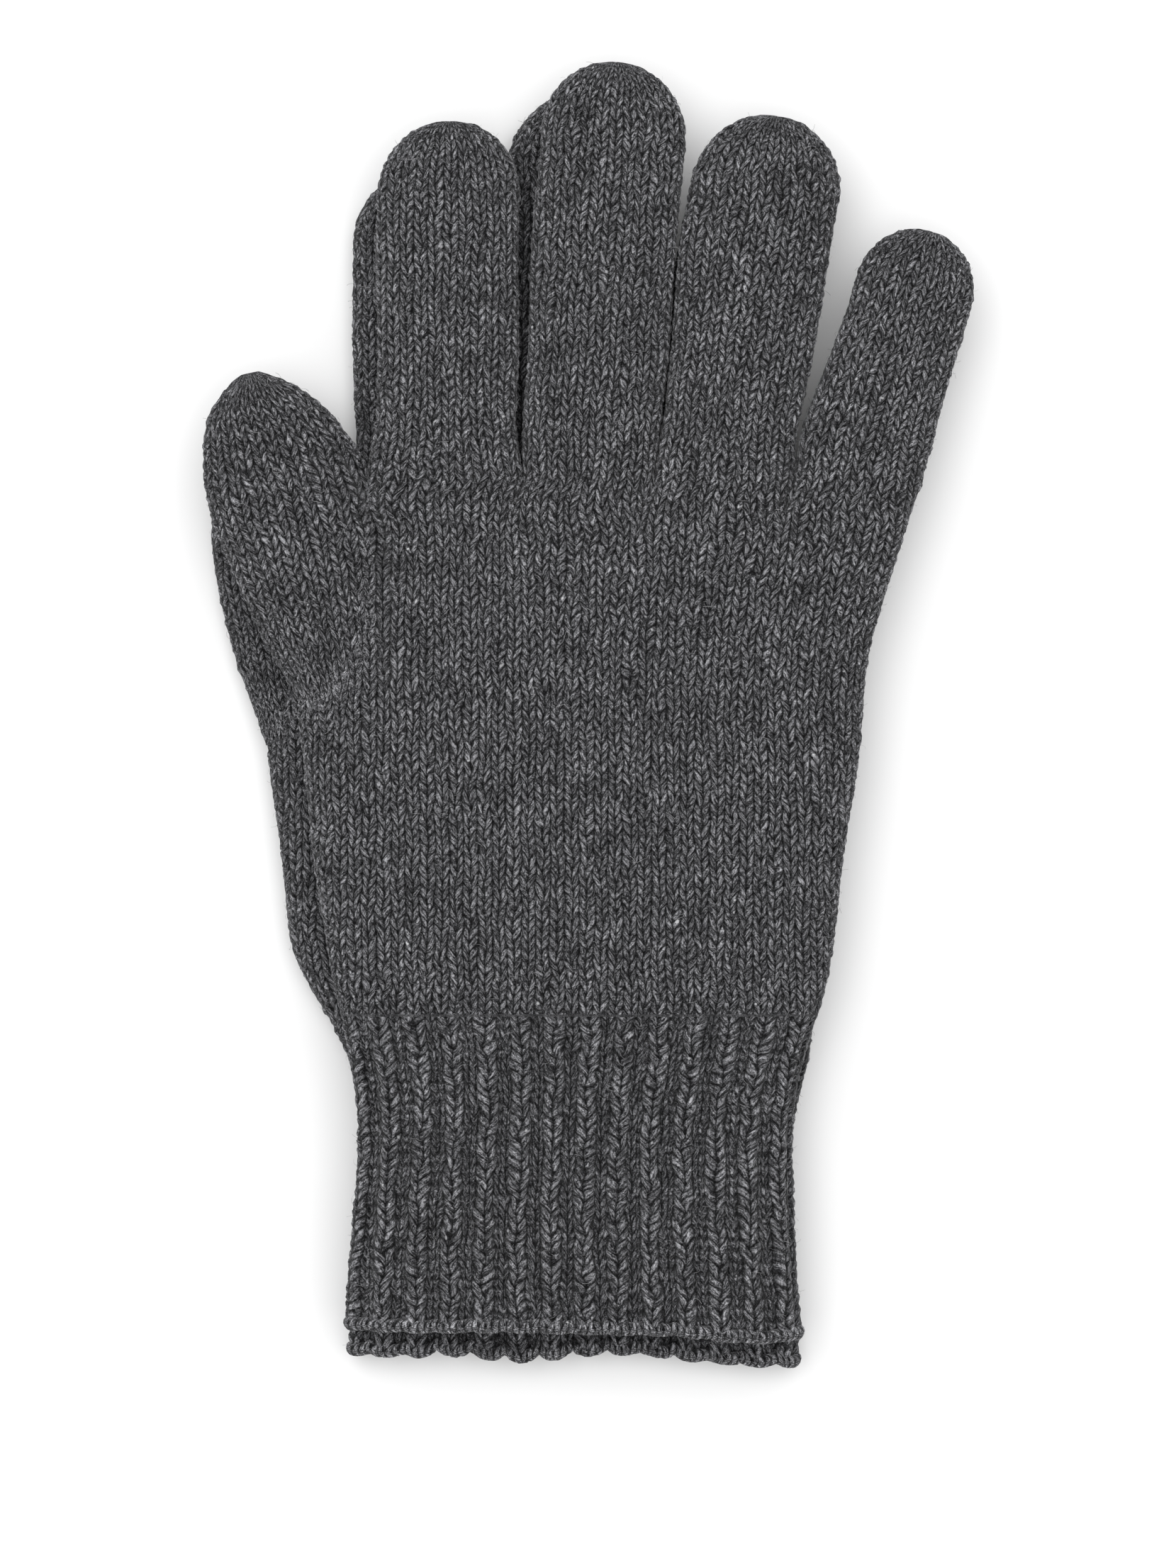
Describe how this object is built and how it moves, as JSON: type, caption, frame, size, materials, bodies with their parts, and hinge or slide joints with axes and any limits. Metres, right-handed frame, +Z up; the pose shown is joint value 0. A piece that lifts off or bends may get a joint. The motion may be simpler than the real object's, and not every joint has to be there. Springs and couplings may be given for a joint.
{
  "type": "pair of knitted gloves",
  "caption": "Plain knitted winter gloves with ribbed cuffs, a left and a right lying flat and stacked, with folding fingers, thumbs and cuffs.",
  "frame": {"origin": "on the surface that the pair lies on, under the centre of the pair's bounding box", "axes": "+Y from the cuffs towards the fingertips, +Z up through the thickness of the stacked gloves, +X across the hand, away from the thumbs"},
  "size_m": [0.147, 0.2388, 0.0185],
  "materials": {
    "charcoal_knit": "heathered charcoal wool, plain knit",
    "charcoal_rib": "heathered charcoal wool, ribbed knit"
  },
  "bodies": {
    "under_hand": {"under_hand": "charcoal_knit"},
    "under_cuff": {"under_cuff": "charcoal_rib", "under_hem": "charcoal_rib"},
    "under_thumb": {"under_thumb": "charcoal_knit"},
    "under_index_lower": {"under_index_lower": "charcoal_knit"},
    "under_index_tip": {"under_index_tip": "charcoal_knit"},
    "under_middle_lower": {"under_middle_lower": "charcoal_knit"},
    "under_middle_tip": {"under_middle_tip": "charcoal_knit"},
    "under_ring_lower": {"under_ring_lower": "charcoal_knit"},
    "under_ring_tip": {"under_ring_tip": "charcoal_knit"},
    "under_little_lower": {"under_little_lower": "charcoal_knit"},
    "under_little_tip": {"under_little_tip": "charcoal_knit"},
    "top_hand": {"top_hand": "charcoal_knit"},
    "top_cuff": {"top_cuff": "charcoal_rib", "top_hem": "charcoal_rib"},
    "top_thumb": {"top_thumb": "charcoal_knit"},
    "top_index_lower": {"top_index_lower": "charcoal_knit"},
    "top_index_tip": {"top_index_tip": "charcoal_knit"},
    "top_middle_lower": {"top_middle_lower": "charcoal_knit"},
    "top_middle_tip": {"top_middle_tip": "charcoal_knit"},
    "top_ring_lower": {"top_ring_lower": "charcoal_knit"},
    "top_ring_tip": {"top_ring_tip": "charcoal_knit"},
    "top_little_lower": {"top_little_lower": "charcoal_knit"},
    "top_little_tip": {"top_little_tip": "charcoal_knit"}
  },
  "joints": [
    {"name": "top_glove_lift", "type": "slide", "parent": "under_hand", "child": "top_hand", "axis": [0, 0, 1], "range_m": [0, 0.14]},
    {"name": "under_wrist_fold", "type": "hinge", "parent": "under_hand", "child": "under_cuff", "pos_m": [-0.00076, -0.06327, 0], "axis": [1, 0, 0], "range_deg": [0, 70]},
    {"name": "under_thumb_bend", "type": "hinge", "parent": "under_hand", "child": "under_thumb", "pos_m": [-0.05418, 0.00673, 0], "axis": [-1, 0, 0], "range_deg": [0, 55]},
    {"name": "under_index_root_bend", "type": "hinge", "parent": "under_hand", "child": "under_index_lower", "pos_m": [-0.03018, 0.04673, 0], "axis": [-1, 0, 0], "range_deg": [0, 80]},
    {"name": "under_index_middle_bend", "type": "hinge", "parent": "under_index_lower", "child": "under_index_tip", "pos_m": [-0.03065, 0.07508, 0], "axis": [-1, 0, 0], "range_deg": [0, 75]},
    {"name": "under_middle_root_bend", "type": "hinge", "parent": "under_hand", "child": "under_middle_lower", "pos_m": [-0.00365, 0.04673, 0], "axis": [-1, 0, 0], "range_deg": [0, 80]},
    {"name": "under_middle_middle_bend", "type": "hinge", "parent": "under_middle_lower", "child": "under_middle_tip", "pos_m": [-0.00116, 0.08058, 0], "axis": [-1, 0, 0], "range_deg": [0, 75]},
    {"name": "under_ring_root_bend", "type": "hinge", "parent": "under_hand", "child": "under_ring_lower", "pos_m": [0.02165, 0.04673, 0], "axis": [-1, 0, 0], "range_deg": [0, 80]},
    {"name": "under_ring_middle_bend", "type": "hinge", "parent": "under_ring_lower", "child": "under_ring_tip", "pos_m": [0.02566, 0.07598, 0], "axis": [-1, 0, 0], "range_deg": [0, 75]},
    {"name": "under_little_root_bend", "type": "hinge", "parent": "under_hand", "child": "under_little_lower", "pos_m": [0.04795, 0.04673, 0], "axis": [-1, 0, 0], "range_deg": [0, 80]},
    {"name": "under_little_middle_bend", "type": "hinge", "parent": "under_little_lower", "child": "under_little_tip", "pos_m": [0.05393, 0.06538, 0], "axis": [-1, 0, 0], "range_deg": [0, 75]},
    {"name": "top_wrist_fold", "type": "hinge", "parent": "top_hand", "child": "top_cuff", "pos_m": [-0.00076, -0.05827, 0.0185], "axis": [-1, 0, 0], "range_deg": [0, 70]},
    {"name": "top_thumb_bend", "type": "hinge", "parent": "top_hand", "child": "top_thumb", "pos_m": [-0.04868, 0.01173, 0.0185], "axis": [1, 0, 0], "range_deg": [0, 55]},
    {"name": "top_index_root_bend", "type": "hinge", "parent": "top_hand", "child": "top_index_lower", "pos_m": [-0.02468, 0.05173, 0.0185], "axis": [1, 0, 0], "range_deg": [0, 80]},
    {"name": "top_index_middle_bend", "type": "hinge", "parent": "top_index_lower", "child": "top_index_tip", "pos_m": [-0.02515, 0.08008, 0.0185], "axis": [1, 0, 0], "range_deg": [0, 75]},
    {"name": "top_middle_root_bend", "type": "hinge", "parent": "top_hand", "child": "top_middle_lower", "pos_m": [0.00185, 0.05173, 0.0185], "axis": [1, 0, 0], "range_deg": [0, 80]},
    {"name": "top_middle_middle_bend", "type": "hinge", "parent": "top_middle_lower", "child": "top_middle_tip", "pos_m": [0.00434, 0.08558, 0.0185], "axis": [1, 0, 0], "range_deg": [0, 75]},
    {"name": "top_ring_root_bend", "type": "hinge", "parent": "top_hand", "child": "top_ring_lower", "pos_m": [0.02715, 0.05173, 0.0185], "axis": [1, 0, 0], "range_deg": [0, 80]},
    {"name": "top_ring_middle_bend", "type": "hinge", "parent": "top_ring_lower", "child": "top_ring_tip", "pos_m": [0.03116, 0.08098, 0.0185], "axis": [1, 0, 0], "range_deg": [0, 75]},
    {"name": "top_little_root_bend", "type": "hinge", "parent": "top_hand", "child": "top_little_lower", "pos_m": [0.05346, 0.05173, 0.0185], "axis": [1, 0, 0], "range_deg": [0, 80]},
    {"name": "top_little_middle_bend", "type": "hinge", "parent": "top_little_lower", "child": "top_little_tip", "pos_m": [0.05943, 0.07038, 0.0185], "axis": [1, 0, 0], "range_deg": [0, 75]}
  ]
}
